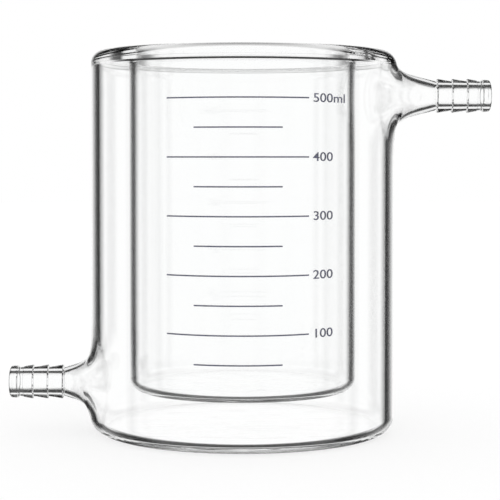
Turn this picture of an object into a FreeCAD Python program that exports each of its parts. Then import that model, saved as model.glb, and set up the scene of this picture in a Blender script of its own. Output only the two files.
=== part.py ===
import FreeCAD, Part
import math
import os
import Sketcher

# A jacketed beaker of blown laboratory glass, in millimetres.
# The origin is the centre of the underside, +Z is up, and the two hose necks lie along X.
# The marks are on the -Y side, which is the front.

SIZES = (
    ("jacket_diameter", 111.0, "outside of the outer wall"),
    ("jacket_wall", 3.0, "thickness of the outer wall"),
    ("jacket_base", 3.0, "thickness of the outer floor"),
    ("jacket_heel", 6.0, "outer radius where the outer wall turns into its floor"),
    ("jacket_inner_heel", 3.0, "the same turn on the inside"),
    ("vessel_diameter", 83.2, "outside of the inner vessel"),
    ("vessel_wall", 2.2, "thickness of the vessel's wall"),
    ("vessel_floor", 2.1, "thickness of the vessel's floor"),
    ("vessel_heel", 5.0, "outer radius between the vessel's wall and floor"),
    ("vessel_inner_heel", 2.8, "the same turn on the inside"),
    ("floor_gap", 12.6, "free height between the two floors"),
    ("headroom", 18.08, "highest long line up to the flat top of the rim"),
    ("seal_thickness", 4.28, "rim top to the ceiling of the jacket space"),
    ("seal_fillet", 1.2, "radius between that ceiling and both walls"),
    ("rim_rounding", 4.4, "outer edge of the rim"),
    ("lip_rounding", 3.4, "inner edge of the rim"),
    ("outlet_drop", 16.18, "rim top down to the axis of the outlet"),
    ("outlet_reach", 15.5, "outer wall to the root of the outlet's barb"),
    ("inlet_height", 18.0, "underside up to the axis of the inlet"),
    ("inlet_reach", 10.2, "outer wall to the root of the inlet's barb"),
    ("hose_bore", 6.4, "bore of both hose barbs and both necks"),
    ("neck_diameter", 10.8, "outside of a neck's root, and of a barb between its crests"),
    ("neck_taper", 14.0, "angle in degrees between a neck's side and its axis"),
    ("flare_depth", 7.0, "length of the bell where a neck opens into the wall"),
    ("flare_radius", 12.0, "outer radius of that bell's curve"),
    ("flare_fillet", 2.0, "blend between the bell and the outer wall"),
    ("barb_length", 20.0, "root to tip of a hose barb"),
    ("barb_pitch", 5.5, "distance between two crests"),
    ("barb_count", 3, "full crests on each barb"),
    ("barb_crest_diameter", 12.4, "outside over the crests"),
    ("barb_rise", 0.4, "length of the steep side of a crest"),
    ("barb_land", 0.5, "flat top of a crest"),
    ("tip_diameter", 11.8, "outside of the bulge at the tip"),
    ("tip_swell", 1.4, "length over which the tube widens to its tip"),
    ("tip_length", 2.8, "length of that bulge"),
    ("tip_rounding", 1.0, "radius of its outer end"),
    ("tip_break", 0.4, "softened edge of the bore's mouth"),
    ("mark_height", 0.5, "height of a printed line"),
    ("enamel_thickness", 0.12, "how far the print stands on the glass"),
    ("long_mark_left", 38.6, "angle in degrees from the front to a long line's left end"),
    ("long_mark_right", 33.1, "the same to its right end"),
    ("short_mark_left", 23.5, "angle in degrees from the front to a short line's left end"),
    ("short_mark_right", 19.1, "the same to its right end"),
    ("mark_volume", 100.0, "millilitres between two long lines"),
    ("mark_count", 5, "long lines, and short lines"),
    ("scale_zero_lift", 1.2, "height of the scale's zero above the vessel's floor"),
)

# Lengths that follow from the sizes, as expressions. The height is one of them: the vessel is as
# deep as its width needs to hold what its scale says.
JACKET_R = "(Sizes.jacket_diameter / 2)"
JACKET_BORE_R = "(Sizes.jacket_diameter / 2 - Sizes.jacket_wall)"
VESSEL_R = "(Sizes.vessel_diameter / 2)"
VESSEL_BORE_R = "(Sizes.vessel_diameter / 2 - Sizes.vessel_wall)"
VESSEL_UNDERSIDE = "(Sizes.jacket_base + Sizes.floor_gap)"
VESSEL_FLOOR_TOP = "(Sizes.jacket_base + Sizes.floor_gap + Sizes.vessel_floor)"
SCALE_ZERO = f"({VESSEL_FLOOR_TOP} + Sizes.scale_zero_lift)"
MARK_PITCH = f"(1000 * Sizes.mark_volume / (pi * {VESSEL_BORE_R} ^ 2))"
TOP = f"({SCALE_ZERO} + {MARK_PITCH} * Sizes.mark_count + Sizes.headroom)"
CEILING = f"({TOP} - Sizes.seal_thickness)"
WELD = f"({TOP} - Sizes.seal_thickness - Sizes.seal_fillet)"
OUTLET_HEIGHT = f"({TOP} - Sizes.outlet_drop)"
INLET_HEIGHT = "Sizes.inlet_height"
BORE_R = "(Sizes.hose_bore / 2)"
NECK_R = "(Sizes.neck_diameter / 2)"
CREST_R = "(Sizes.barb_crest_diameter / 2)"
TIP_R = "(Sizes.tip_diameter / 2)"

# The rod that the jacket is cut from reaches this far past the glass, and tools twice as far.
SPILL = "20"
FAR_BELOW = f"(-2 * {SPILL})"
FAR_ABOVE = f"({TOP} + 2 * {SPILL})"

# A neck's passage is cut from this far behind the face of the wall, inside the jacket space.
PASSAGE_DEPTH = "(2.5 * Sizes.jacket_wall)"

# An edge lies on a surface if this many points of it do, to this tolerance in mm.
EDGE_POINTS = 9
TOLERANCE = 0.001

# Each neck: its angle about Z, the height of its axis, and how far it stands out.
OUTLET = (0, OUTLET_HEIGHT, "Sizes.outlet_reach")
INLET = (180, INLET_HEIGHT, "Sizes.inlet_reach")

doc = FreeCAD.newDocument("jacketed_beaker")


def make_sheet():
    """Write the driving dimensions into a sheet, one row each."""
    sheet = doc.addObject("Spreadsheet::Sheet", "Sizes")
    for row, (alias, value, meaning) in enumerate(SIZES, start=1):
        sheet.set(f"A{row}", alias)
        sheet.set(f"B{row}", str(value))
        sheet.set(f"C{row}", meaning)
        sheet.setAlias(f"B{row}", alias)
    doc.recompute()
    return sheet


def new_body(label):
    body = doc.addObject("PartDesign::Body", label)
    body.Label = label
    return body


class Outline:
    """A closed outline in a sketch, whose corners are given as expressions.

    Every corner gets a named horizontal and vertical distance from the sketch's origin, and every
    arc a named radius, all bound to the sheet, so that the sketch is fully constrained.
    """

    def __init__(self, body, name, lift="0", turn=0):
        """Lay the sketch in the XZ plane, raised by lift and turned about Z by turn degrees."""
        plane = next(part for part in body.Origin.OriginFeatures if part.Role == "XZ_Plane")
        self.sketch = body.newObject("Sketcher::SketchObject", name)
        self.sketch.AttachmentSupport = [(plane, "")]
        self.sketch.MapMode = "FlatFace"
        turned = FreeCAD.Rotation(FreeCAD.Vector(0, 1, 0), turn)
        self.sketch.AttachmentOffset = FreeCAD.Placement(FreeCAD.Vector(), turned)
        self.sketch.setExpression("AttachmentOffset.Base.y", lift)
        self.ends = []

    def value(self, expression):
        return float(self.sketch.evalExpression(expression))

    def point(self, across, up):
        return FreeCAD.Vector(self.value(across), self.value(up), 0)

    def bind(self, kind, expression, *reference):
        """Add a dimension and drive it by its expression."""
        index = self.sketch.addConstraint(Sketcher.Constraint(kind, *reference, self.value(expression)))
        name = f"{kind}_{index}"
        self.sketch.renameConstraint(index, name)
        self.sketch.setExpression("Constraints." + name, expression)

    def place(self, geometry, end, corner):
        """Fix one end of a line or arc at a corner."""
        across, up = corner
        self.bind("DistanceX", across, -1, 1, geometry, end)
        self.bind("DistanceY", up, -1, 1, geometry, end)

    def draw(self, corners):
        """Draw through the corners and close the outline.

        Each corner is (across, up), or (across, up, radius, turn) where an arc leads to it from
        the corner before: turn is "left" when the arc bends to the left on its way.
        """
        count = len(corners)
        for index in range(count):
            before = corners[index - 1]
            here = corners[index]
            start = self.point(before[0], before[1])
            finish = self.point(here[0], here[1])
            if len(here) == 2:
                geometry = self.sketch.addGeometry(Part.LineSegment(start, finish), False)
                self.ends.append((geometry, 1, 2))
                continue
            radius, turn = here[2], here[3]
            arc, forward = arc_between(start, finish, self.value(radius), turn == "left")
            geometry = self.sketch.addGeometry(arc, False)
            self.ends.append((geometry, 1, 2) if forward else (geometry, 2, 1))
            self.bind("Radius", radius, geometry)
        for index in range(count):
            geometry, first, last = self.ends[index]
            following, following_first, following_last = self.ends[(index + 1) % count]
            self.sketch.addConstraint(
                Sketcher.Constraint("Coincident", geometry, last, following, following_first))
            self.place(geometry, last, corners[index][:2])
        return self.sketch


def arc_between(start, finish, radius, bends_left):
    """Return the shorter arc of a radius between two points, and whether it runs from the start."""
    chord = finish - start
    half = chord.Length / 2
    rise = math.sqrt(max(radius ** 2 - half ** 2, 0))
    left = FreeCAD.Vector(-chord.y, chord.x, 0).normalize()
    side = 1 if bends_left else -1
    centre = start + chord / 2 + left * rise * side
    from_angle = math.atan2(start.y - centre.y, start.x - centre.x)
    to_angle = math.atan2(finish.y - centre.y, finish.x - centre.x)
    circle = Part.Circle(centre, FreeCAD.Vector(0, 0, 1), radius)
    if bends_left:
        return Part.ArcOfCircle(circle, from_angle, to_angle), True
    return Part.ArcOfCircle(circle, to_angle, from_angle), False


def spin(body, kind, name, corners, axis="V_Axis", lift="0", turn=0):
    """Turn a closed outline about an axis of its sketch, adding or cutting glass."""
    sketch = Outline(body, name + "_outline", lift, turn).draw(corners)
    feature = body.newObject("PartDesign::" + kind, name)
    feature.Profile = sketch
    feature.ReferenceAxis = (sketch, [axis])
    sketch.Visibility = False
    doc.recompute()
    return feature


def neck_corners(root_r, reach, depth):
    """Outline of a neck beside its own axis, from deep in the wall out to its root.

    A straight taper runs in from the root, the bell's arc opens tangent to it, and a straight run
    tangent to the arc carries the bell on to a depth behind the outer wall's face. The inside of
    the neck keeps the same centre for its arc, so the glass stays equally thick.
    """
    root = f"({JACKET_R} + {reach})"
    bell_start = f"({JACKET_R} + Sizes.flare_depth)"
    bell_r = f"({NECK_R} + ({root} - {bell_start}) * tan(Sizes.neck_taper))"
    centre_x = f"({bell_start} + Sizes.flare_radius * sin(Sizes.neck_taper))"
    centre_r = f"({bell_r} + Sizes.flare_radius * cos(Sizes.neck_taper))"
    opening = f"asin(({centre_x} - {JACKET_R}) / Sizes.flare_radius)"
    arc_r = f"(Sizes.flare_radius + ({NECK_R} - {root_r}) * cos(Sizes.neck_taper))"
    arc_start = (f"{centre_x} - {arc_r} * sin(Sizes.neck_taper)",
                 f"{centre_r} - {arc_r} * cos(Sizes.neck_taper)")
    arc_end = (f"({centre_x} - {arc_r} * sin({opening}))",
               f"({centre_r} - {arc_r} * cos({opening}))")
    run_end_r = f"{arc_end[1]} + ({arc_end[0]} - {JACKET_R} + {depth}) * tan({opening})"
    return [
        (f"{JACKET_R} - {depth}", "0"),
        (root, "0"),
        (root, root_r),
        arc_start,
        (*arc_end, arc_r, "right"),
        (f"{JACKET_R} - {depth}", run_end_r),
    ]


def blend_necks(body, label):
    """Round off the crease where each bell meets the outer wall."""
    base = body.Tip
    wall_r = float(base.evalExpression(JACKET_R))
    creases = []
    for number, edge in enumerate(base.Shape.Edges, start=1):
        samples = edge.discretize(EDGE_POINTS)
        misses = [abs(math.hypot(point.x, point.y) - wall_r) for point in samples]
        heights = [point.z for point in samples]
        level = max(heights) - min(heights) < TOLERANCE
        upright = edge.Curve.TypeId == "Part::GeomLine"
        if max(misses) < TOLERANCE and not level and not upright:
            creases.append(f"Edge{number}")
    fillet = body.newObject("PartDesign::Fillet", label)
    fillet.Base = (base, creases)
    fillet.setExpression("Radius", "Sizes.flare_fillet")
    doc.recompute()


def outside_with_necks(body, necks):
    """A solid rod as thick as the jacket, longer than it at both ends, with its necks."""
    spin(body, "Revolution", "wall_rod", [
        ("0", "-" + SPILL),
        (JACKET_R, "-" + SPILL),
        (JACKET_R, f"{TOP} + {SPILL}"),
        ("0", f"{TOP} + {SPILL}"),
    ])
    for name, (turn, height, reach) in necks.items():
        corners = neck_corners(NECK_R, reach, "Sizes.jacket_wall")
        spin(body, "Revolution", name + "_neck", corners, "H_Axis", height, turn)
    blend_necks(body, "neck_blends")


def make_outer_jacket():
    """The outer wall and floor, with both necks drawn out of the wall."""
    body = new_body("outer_jacket")
    necks = {"outlet": OUTLET, "inlet": INLET}
    outside_with_necks(body, necks)
    spin(body, "Groove", "wall_bore", [
        ("0", FAR_BELOW),
        (JACKET_BORE_R, FAR_BELOW),
        (JACKET_BORE_R, FAR_ABOVE),
        ("0", FAR_ABOVE),
    ])
    for name, (turn, height, reach) in necks.items():
        corners = neck_corners(BORE_R, reach, PASSAGE_DEPTH)
        spin(body, "Groove", name + "_passage", corners, "H_Axis", height, turn)
    mid_wall = f"({JACKET_R} - Sizes.jacket_wall / 2)"
    heel_top = "(Sizes.jacket_base + Sizes.jacket_inner_heel)"
    spin(body, "Revolution", "jacket_floor", [
        ("0", "0"),
        (mid_wall, "0"),
        (mid_wall, heel_top),
        (JACKET_BORE_R, heel_top),
        (f"{JACKET_BORE_R} - Sizes.jacket_inner_heel", "Sizes.jacket_base",
         "Sizes.jacket_inner_heel", "right"),
        ("0", "Sizes.jacket_base"),
    ])
    spin(body, "Groove", "heel_trim", [
        ("0", "0"),
        ("0", FAR_BELOW),
        (f"{JACKET_R} + {SPILL}", FAR_BELOW),
        (f"{JACKET_R} + {SPILL}", "Sizes.jacket_heel"),
        (JACKET_R, "Sizes.jacket_heel"),
        (f"{JACKET_R} - Sizes.jacket_heel", "0", "Sizes.jacket_heel", "right"),
    ])
    spin(body, "Groove", "weld_face", [
        ("0", WELD),
        (f"{JACKET_R} + {SPILL}", WELD),
        (f"{JACKET_R} + {SPILL}", FAR_ABOVE),
        ("0", FAR_ABOVE),
    ])
    return body


def make_rim_seal():
    """The ring that closes the jacket space and carries the rim, with a short stub of each wall."""
    body = new_body("rim_seal")
    outside_with_necks(body, {"outlet": OUTLET})
    spin(body, "Groove", "weld_face", [
        ("0", FAR_BELOW),
        (f"{JACKET_R} + {SPILL}", FAR_BELOW),
        (f"{JACKET_R} + {SPILL}", WELD),
        ("0", WELD),
    ])
    spin(body, "Groove", "ceiling", [
        (VESSEL_R, f"{WELD} - {SPILL}"),
        (JACKET_BORE_R, f"{WELD} - {SPILL}"),
        (JACKET_BORE_R, WELD),
        (f"{JACKET_BORE_R} - Sizes.seal_fillet", CEILING, "Sizes.seal_fillet", "left"),
        (f"{VESSEL_R} + Sizes.seal_fillet", CEILING),
        (VESSEL_R, WELD, "Sizes.seal_fillet", "left"),
    ])
    spin(body, "Groove", "mouth", [
        ("0", f"{WELD} - {SPILL}"),
        (VESSEL_BORE_R, f"{WELD} - {SPILL}"),
        (VESSEL_BORE_R, f"{TOP} - Sizes.lip_rounding"),
        (f"{VESSEL_BORE_R} + Sizes.lip_rounding", TOP, "Sizes.lip_rounding", "right"),
        (f"{VESSEL_BORE_R} + Sizes.lip_rounding", FAR_ABOVE),
        ("0", FAR_ABOVE),
    ])
    spin(body, "Groove", "rim_top", [
        ("0", TOP),
        (f"{JACKET_R} - Sizes.rim_rounding", TOP),
        (JACKET_R, f"{TOP} - Sizes.rim_rounding", "Sizes.rim_rounding", "right"),
        (f"{JACKET_R} + {SPILL}", f"{TOP} - Sizes.rim_rounding"),
        (f"{JACKET_R} + {SPILL}", FAR_ABOVE),
        ("0", FAR_ABOVE),
    ])
    return body


def make_inner_vessel():
    """The flat-bottomed cup that holds the contents, up to its weld under the rim."""
    body = new_body("inner_vessel")
    spin(body, "Revolution", "cup", [
        ("0", VESSEL_UNDERSIDE),
        (f"{VESSEL_R} - Sizes.vessel_heel", VESSEL_UNDERSIDE),
        (VESSEL_R, f"{VESSEL_UNDERSIDE} + Sizes.vessel_heel", "Sizes.vessel_heel", "left"),
        (VESSEL_R, WELD),
        (VESSEL_BORE_R, WELD),
        (VESSEL_BORE_R, f"{VESSEL_FLOOR_TOP} + Sizes.vessel_inner_heel"),
        (f"{VESSEL_BORE_R} - Sizes.vessel_inner_heel", VESSEL_FLOOR_TOP,
         "Sizes.vessel_inner_heel", "right"),
        ("0", VESSEL_FLOOR_TOP),
    ])
    return body


def make_hose_barb(label, neck):
    """A serrated glass hose connection, fused to the root of its neck.

    Its own X runs from the root to the tip. The crests are steep towards the beaker, so that a
    hose slides on and is held.
    """
    body = new_body(label)
    tip_start = "(Sizes.barb_length - Sizes.tip_length)"
    spin(body, "Revolution", "tube", [
        ("0", BORE_R),
        ("0", NECK_R),
        (f"{tip_start} - Sizes.tip_swell", NECK_R),
        (tip_start, TIP_R),
        ("Sizes.barb_length - Sizes.tip_rounding", TIP_R),
        ("Sizes.barb_length", f"{TIP_R} - Sizes.tip_rounding", "Sizes.tip_rounding", "right"),
        ("Sizes.barb_length", f"{BORE_R} + Sizes.tip_break"),
        ("Sizes.barb_length - Sizes.tip_break", BORE_R, "Sizes.tip_break", "right"),
    ], "H_Axis")
    skin = f"(({BORE_R} + {NECK_R}) / 2)"
    crest = spin(body, "Revolution", "crest", [
        ("0", skin),
        ("0", NECK_R),
        ("Sizes.barb_rise", CREST_R),
        ("Sizes.barb_rise + Sizes.barb_land", CREST_R),
        ("Sizes.barb_pitch", NECK_R),
        ("Sizes.barb_pitch", skin),
    ], "H_Axis")
    crests = body.newObject("PartDesign::LinearPattern", "crests")
    crests.Originals = [crest]
    crests.Direction = (crest.Profile[0], ["H_Axis"])
    crests.setExpression("Length", "Sizes.barb_pitch * (Sizes.barb_count - 1)")
    crests.setExpression("Occurrences", "Sizes.barb_count")
    body.Tip = crests
    turn, height, reach = neck
    side = -1 if turn == 180 else 1
    body.Placement.Rotation = FreeCAD.Rotation(FreeCAD.Vector(0, 0, 1), turn)
    body.setExpression("Placement.Base.x", f"{side} * ({JACKET_R} + {reach})")
    body.setExpression("Placement.Base.z", height)
    doc.recompute()
    return body


def make_marks(label, left, right, first_line):
    """Printed lines of one length on the front of the vessel, one above the other.

    Each is a thin band of fired enamel on the glass. They stand one step of the scale apart, and
    the first is that many steps above zero.
    """
    body = new_body(label)
    band = spin(body, "Revolution", "line", [
        (VESSEL_R, "-Sizes.mark_height / 2"),
        (f"{VESSEL_R} + Sizes.enamel_thickness", "-Sizes.mark_height / 2"),
        (f"{VESSEL_R} + Sizes.enamel_thickness", "Sizes.mark_height / 2"),
        (VESSEL_R, "Sizes.mark_height / 2"),
    ])
    band.setExpression("Angle", f"{left} + {right}")
    lines = body.newObject("PartDesign::LinearPattern", "lines")
    lines.Originals = [band]
    lines.Direction = (band.Profile[0], ["V_Axis"])
    lines.setExpression("Length", f"{MARK_PITCH} * (Sizes.mark_count - 1)")
    lines.setExpression("Occurrences", "Sizes.mark_count")
    body.Tip = lines
    body.setExpression("Placement.Base.z", f"{SCALE_ZERO} + {MARK_PITCH} * {first_line}")
    body.setExpression("Placement.Rotation.Angle", f"-90 - {left}")
    doc.recompute()
    return body


def check_document():
    """Stop if any object of the document failed to build."""
    for item in doc.Objects:
        states = set(item.State)
        if states & {"Invalid", "Error"}:
            raise RuntimeError(f"{item.Label} failed: {item.State}")
        if item.TypeId == "Sketcher::SketchObject" and not item.FullyConstrained:
            raise RuntimeError(f"{item.Label} has loose geometry")


def export(bodies):
    """Check each piece's shape and write it as a STEP file under its own name."""
    os.makedirs("parts", exist_ok=True)
    for body in bodies:
        shape = body.Shape
        if shape.isNull() or not shape.isValid():
            raise RuntimeError(f"{body.Label} has no valid shape")
    for body in bodies:
        shape = body.Shape
        shape.exportStep(os.path.join("parts", body.Label + ".step"))
        print(f"{body.Label}: {len(shape.Solids)} solids, {shape.Volume:.1f} mm3")


make_sheet()
pieces = [
    make_inner_vessel(),
    make_outer_jacket(),
    make_rim_seal(),
    make_hose_barb("outlet_hose_barb", OUTLET),
    make_hose_barb("inlet_hose_barb", INLET),
    make_marks("scale_lines_100ml", "Sizes.long_mark_left", "Sizes.long_mark_right", "1"),
    make_marks("scale_lines_50ml", "Sizes.short_mark_left", "Sizes.short_mark_right", "0.5"),
]
doc.recompute()
check_document()
export(pieces)
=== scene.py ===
"""A jacketed laboratory beaker of clear glass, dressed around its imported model.

The glass pieces are surfaces worked out with numpy: turned profiles, with each hose neck drawn out
of the jacket's wall as one skin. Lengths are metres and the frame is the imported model's: Z is up,
the scale faces -Y, and the outlet points along +X.
"""

import logging
import math
from dataclasses import dataclass
from enum import Enum
from typing import Any, Sequence

import bpy
import numpy as np
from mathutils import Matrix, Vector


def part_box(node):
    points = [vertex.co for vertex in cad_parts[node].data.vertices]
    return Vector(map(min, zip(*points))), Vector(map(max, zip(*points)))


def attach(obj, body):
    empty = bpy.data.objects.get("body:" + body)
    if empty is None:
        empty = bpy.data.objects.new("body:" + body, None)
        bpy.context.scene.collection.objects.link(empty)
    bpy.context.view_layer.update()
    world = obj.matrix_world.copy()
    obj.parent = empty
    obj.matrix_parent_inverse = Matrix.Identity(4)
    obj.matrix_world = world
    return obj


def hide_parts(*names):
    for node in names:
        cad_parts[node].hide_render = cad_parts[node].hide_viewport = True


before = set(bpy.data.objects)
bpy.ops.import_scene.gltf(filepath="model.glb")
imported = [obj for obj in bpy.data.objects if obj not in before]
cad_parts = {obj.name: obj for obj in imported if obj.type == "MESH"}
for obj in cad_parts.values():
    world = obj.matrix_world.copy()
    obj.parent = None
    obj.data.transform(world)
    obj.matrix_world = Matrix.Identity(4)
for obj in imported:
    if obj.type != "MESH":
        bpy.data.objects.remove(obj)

log = logging.getLogger("jacketed_beaker")

MM = 0.001
GLASS_SLOT = "borosilicate_glass"
ROW = 2.4 * MM


# Shader maths


class Wire:
    """A number that runs through a shader; Python's operators on it add Math nodes."""

    def __init__(self, tree: bpy.types.NodeTree, socket: bpy.types.NodeSocket) -> None:
        """Wrap one output socket.

        Args:
            tree: The node tree that the socket belongs to.
            socket: The output whose value is worked on.
        """
        self.tree = tree
        self.socket = socket

    def math(self, operation: str, *others: "Wire | float", first: bool = True) -> "Wire":
        """Add one Math node.

        Args:
            operation: The Math node's operation.
            others: The values beside this one.
            first: Whether this value is the first operand.

        Returns:
            The node's result.
        """
        node = self.tree.nodes.new("ShaderNodeMath")
        node.operation = operation
        operands = [self, *others] if first else [*others, self]
        for socket, operand in zip(node.inputs, operands):
            if isinstance(operand, Wire):
                self.tree.links.new(operand.socket, socket)
            else:
                socket.default_value = operand
        return Wire(self.tree, node.outputs[0])

    def __add__(self, other: "Wire | float") -> "Wire":
        """Add."""
        return self.math("ADD", other)

    __radd__ = __add__

    def __sub__(self, other: "Wire | float") -> "Wire":
        """Take away."""
        return self.math("SUBTRACT", other)

    def __rsub__(self, other: float) -> "Wire":
        """Take this away from a number."""
        return self.math("SUBTRACT", other, first=False)

    def __mul__(self, other: "Wire | float") -> "Wire":
        """Multiply."""
        return self.math("MULTIPLY", other)

    __rmul__ = __mul__

    def __truediv__(self, other: "Wire | float") -> "Wire":
        """Divide."""
        return self.math("DIVIDE", other)

    def __abs__(self) -> "Wire":
        """Drop the sign."""
        return self.math("ABSOLUTE")

    def atan2(self, other: "Wire") -> "Wire":
        """The angle whose tangent is this over the other, in radians."""
        return self.math("ARCTAN2", other)


class Shader:
    """A material under construction."""

    def __init__(self, name: str) -> None:
        """Start an empty material.

        Args:
            name: The material's name.
        """
        self.material = bpy.data.materials.new(name)
        self.material.use_nodes = True
        self.tree = self.material.node_tree
        self.tree.nodes.clear()

    def node(self, kind: str, settings: dict[str, Any] | None = None,
             inputs: dict[str | int, Any] | None = None) -> bpy.types.Node:
        """Add one node.

        Args:
            kind: The node's type.
            settings: Its own properties, set first; "stops" gives a ramp's places and values.
            inputs: The value, Wire or output socket for each of its sockets.

        Returns:
            The node.
        """
        node = self.tree.nodes.new(kind)
        for key, value in (settings or {}).items():
            if key == "stops":
                self._set_stops(node, value)
            else:
                setattr(node, key, value)
        for key, value in (inputs or {}).items():
            socket = node.inputs[key]
            if isinstance(value, Wire):
                self.tree.links.new(value.socket, socket)
            elif isinstance(value, bpy.types.NodeSocket):
                self.tree.links.new(value, socket)
            else:
                socket.default_value = value
        return node

    @staticmethod
    def _set_stops(node: bpy.types.Node, stops: Sequence[tuple[float, float]]) -> None:
        """Give a colour ramp grey stops.

        Args:
            node: The ramp.
            stops: Each stop's place and value.
        """
        elements = node.color_ramp.elements
        for index, (place, value) in enumerate(stops):
            element = elements[index] if index < len(elements) else elements.new(place)
            element.position = place
            element.color = (value, value, value, 1.0)

    def wire(self, node: bpy.types.Node, output: str | int = 0) -> Wire:
        """One of a node's outputs as a number."""
        return Wire(self.tree, node.outputs[output])

    def place(self) -> bpy.types.NodeSocket:
        """The point on the piece, in metres."""
        return self.node("ShaderNodeTexCoord").outputs["Object"]

    def noise(self, scale: float, detail: float, roughness: float = 0.5,
              stretch: tuple[float, float, float] = (1.0, 1.0, 1.0)) -> Wire:
        """Noise on the piece's own coordinates.

        Args:
            scale: Lumps to a metre.
            detail: Octaves.
            roughness: How much each octave keeps of the one before.
            stretch: How much the pattern is squeezed along each axis.

        Returns:
            The noise, from 0 to 1.
        """
        mapping = self.node("ShaderNodeMapping", inputs={"Vector": self.place(),
                                                         "Scale": stretch})
        texture = self.node("ShaderNodeTexNoise", inputs={
            "Vector": mapping.outputs[0], "Scale": scale, "Detail": detail,
            "Roughness": roughness})
        return self.wire(texture, "Fac")

    def finish(self, surface: bpy.types.NodeSocket) -> bpy.types.Material:
        """Connect the surface and hand over the material."""
        self.node("ShaderNodeOutputMaterial", inputs={"Surface": surface})
        return self.material


# Finishes


@dataclass(frozen=True)
class ClearGlass:
    """Clear borosilicate glass with the faint waviness of lamp work.

    Attributes:
        name: The material's name.
        wave: Height of the waves in metres.
        wave_scale: Waves to a metre.
        stretch: How the waves are squeezed along each axis.
        index: The refractive index.
    """

    name: str
    wave: float
    wave_scale: float
    stretch: tuple[float, float, float] = (1.0, 1.0, 1.0)
    index: float = 1.47

    def material(self) -> bpy.types.Material:
        """Build the glass: waves in its bump, and a colour that hardly leaves white.

        Returns:
            The material.
        """
        shader = Shader(self.name)
        waves = shader.noise(self.wave_scale, 1.0, stretch=self.stretch)
        bump = shader.node("ShaderNodeBump", inputs={
            "Height": waves, "Distance": self.wave, "Strength": 1.0})
        cloud = shader.noise(30.0, 2.0)
        tint = shader.node("ShaderNodeMix", {"data_type": "RGBA"}, {
            "Factor": cloud, 6: (1.0, 1.0, 1.0, 1.0), 7: (0.992, 0.996, 0.995, 1.0)})
        glass = shader.node("ShaderNodeBsdfPrincipled", inputs={
            "Base Color": tint.outputs[2], "Roughness": 0.0, "IOR": self.index,
            "Transmission Weight": 1.0, "Normal": bump.outputs[0]})
        return shader.finish(glass.outputs[0])


@dataclass(frozen=True)
class WeldFace:
    """The face inside a weld, where two pieces of glass are one: nothing shows there."""

    name: str = "fused_weld"

    def material(self) -> bpy.types.Material:
        """Build the unseen face."""
        shader = Shader(self.name)
        clear = shader.node("ShaderNodeBsdfTransparent")
        return shader.finish(clear.outputs[0])


@dataclass(frozen=True)
class FiredEnamel:
    """Dark blue enamel, screened on the glass and fired.

    Attributes:
        name: The material's name.
        deep: Its colour where it lies thick.
        thin: Its colour where the screen left less.
    """

    name: str
    deep: tuple[float, float, float, float]
    thin: tuple[float, float, float, float]

    def material(self) -> bpy.types.Material:
        """Build the enamel: its colour, gloss and skin follow a fine grain.

        Returns:
            The material.
        """
        shader = Shader(self.name)
        grain = shader.noise(2600.0, 3.0, 0.6)
        patches = shader.noise(180.0, 2.0)
        colour = shader.node("ShaderNodeMix", {"data_type": "RGBA"}, {
            "Factor": patches * 0.7 + grain * 0.3, 6: self.deep, 7: self.thin})
        bump = shader.node("ShaderNodeBump", inputs={
            "Height": grain, "Distance": 0.02 * MM, "Strength": 0.5})
        enamel = shader.node("ShaderNodeBsdfPrincipled", inputs={
            "Base Color": colour.outputs[2], "Roughness": 0.22 + grain * 0.2,
            "Coat Weight": 0.25, "Normal": bump.outputs[0]})
        return shader.finish(enamel.outputs[0])


# Surfaces


def eased(share: np.ndarray) -> np.ndarray:
    """A soft step: three times the square less twice the cube, of a share held to 0 and 1."""
    held = np.clip(share, 0.0, 1.0)
    return held * held * (3.0 - 2.0 * held)


def rounded_line(corners: Sequence[tuple[float, float, float]], steps: int = 10) -> np.ndarray:
    """A profile through corners, each turned with its own radius.

    A corner of radius q between two straight runs becomes the circle's arc that touches both; its
    ends lie q times the tangent of half the turn from the corner.

    Args:
        corners: Each corner's two coordinates and its radius.
        steps: Divisions of each arc.

    Returns:
        The profile's points, one row each.
    """
    places = np.array([corner[:2] for corner in corners], float)
    runs = np.diff(places, axis=0)
    runs /= np.linalg.norm(runs, axis=1, keepdims=True)
    parts = [places[:1]]
    for index in range(1, len(corners) - 1):
        before, after = runs[index - 1], runs[index]
        radius = corners[index][2]
        turn = math.atan2(before[0] * after[1] - before[1] * after[0], float(before @ after))
        if radius <= 0.0 or abs(turn) < 1e-6:
            parts.append(places[index:index + 1])
            continue
        start = places[index] - before * radius * math.tan(abs(turn) / 2)
        side = math.copysign(1.0, turn)
        left = np.array([-before[1], before[0]])
        centre = start + left * radius * side
        swept = np.linspace(0.0, turn, steps + 1)[:, None]
        parts.append(centre - radius * side * (left * np.cos(swept) - before * np.sin(swept)))
    parts.append(places[-1:])
    return np.concatenate(parts)


def divided(profile: np.ndarray, longest: float) -> np.ndarray:
    """Divide the long runs of a profile evenly.

    Args:
        profile: The profile's points.
        longest: The longest that a piece may be.

    Returns:
        The same line with more points.
    """
    lengths = np.linalg.norm(np.diff(profile, axis=0), axis=1)
    counts = np.maximum(np.ceil(lengths / longest).astype(int), 1)
    starts = np.repeat(profile[:-1], counts, axis=0)
    ways = np.repeat(np.diff(profile, axis=0), counts, axis=0)
    firsts = np.repeat(np.cumsum(counts) - counts, counts)
    shares = (np.arange(counts.sum()) - firsts) / np.repeat(counts, counts)
    return np.concatenate([starts + ways * shares[:, None], profile[-1:]])


def turned(profile: np.ndarray, angles: np.ndarray) -> np.ndarray:
    """Turn a profile about Z: a point at radius r and height z goes to r cos a, r sin a, z.

    Args:
        profile: Radius and height, one row each.
        angles: The angles in radians.

    Returns:
        Points in a grid, a row for each point of the profile and a column for each angle.
    """
    radius, height = profile[:, :1], profile[:, 1:]
    return np.stack([radius * np.cos(angles), radius * np.sin(angles),
                     height + 0.0 * angles], axis=-1)


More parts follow.
